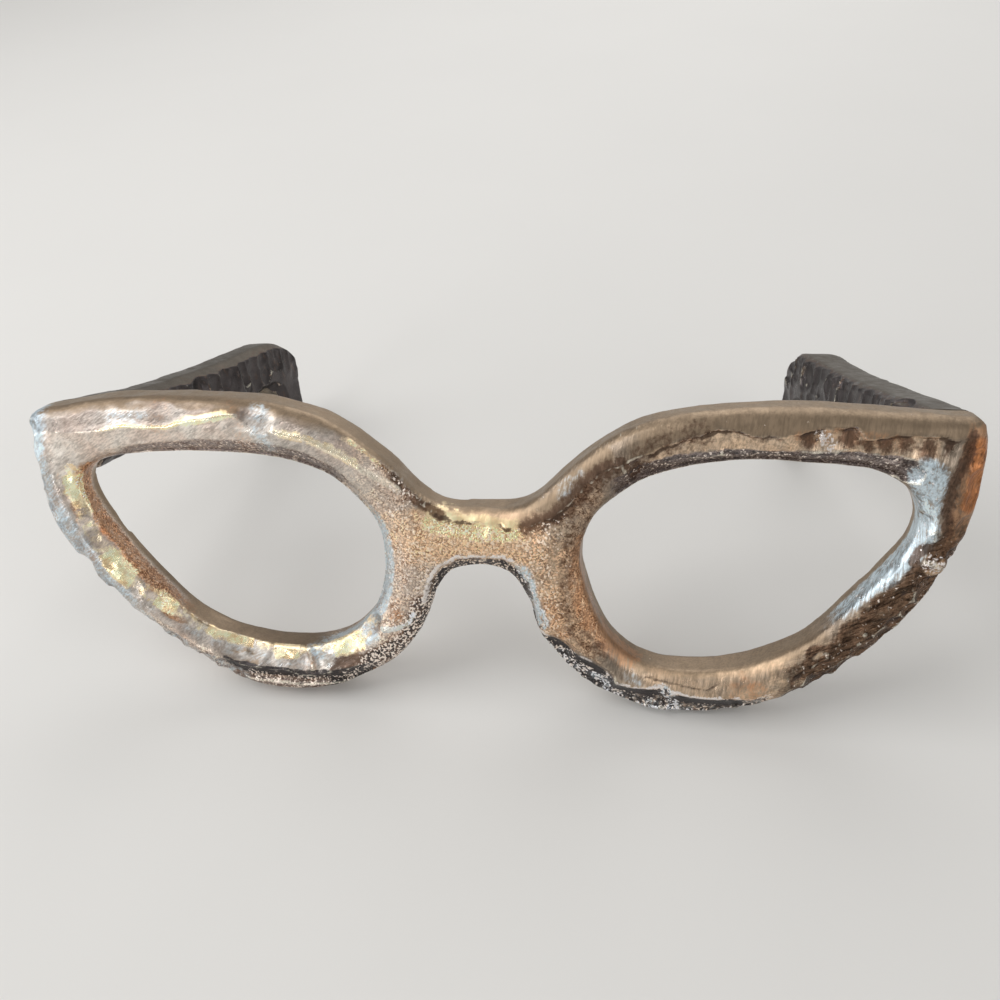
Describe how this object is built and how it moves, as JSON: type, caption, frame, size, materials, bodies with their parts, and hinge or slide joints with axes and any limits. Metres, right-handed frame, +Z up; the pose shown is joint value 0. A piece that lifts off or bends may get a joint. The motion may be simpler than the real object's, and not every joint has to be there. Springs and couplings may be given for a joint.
{
  "type": "eyeglasses sculpture",
  "caption": "Oversized cast-metal spectacles ornament with cat-eye rims, no lenses, a saddle bridge and fixed arms that taper to drooping ear ends; stands on its rims and ears.",
  "frame": {"origin": "on the table plane, under the middle of the part's bounding box", "axes": "+Z up, the front faces -Y and leans back, +X to the right as seen from the front, the arms run back towards +Y"},
  "size_m": [0.2416, 0.1296, 0.0805],
  "materials": {
    "cast_metal": "hammered and wire-brushed casting, warm pale silver",
    "pin_steel": "ground dowel"
  },
  "bodies": {
    "root": {"front_frame": "cast_metal", "left_arm": "cast_metal", "right_arm": "cast_metal", "left_upper_pin": "pin_steel", "left_lower_pin": "pin_steel", "right_upper_pin": "pin_steel", "right_lower_pin": "pin_steel"}
  },
  "joints": []
}
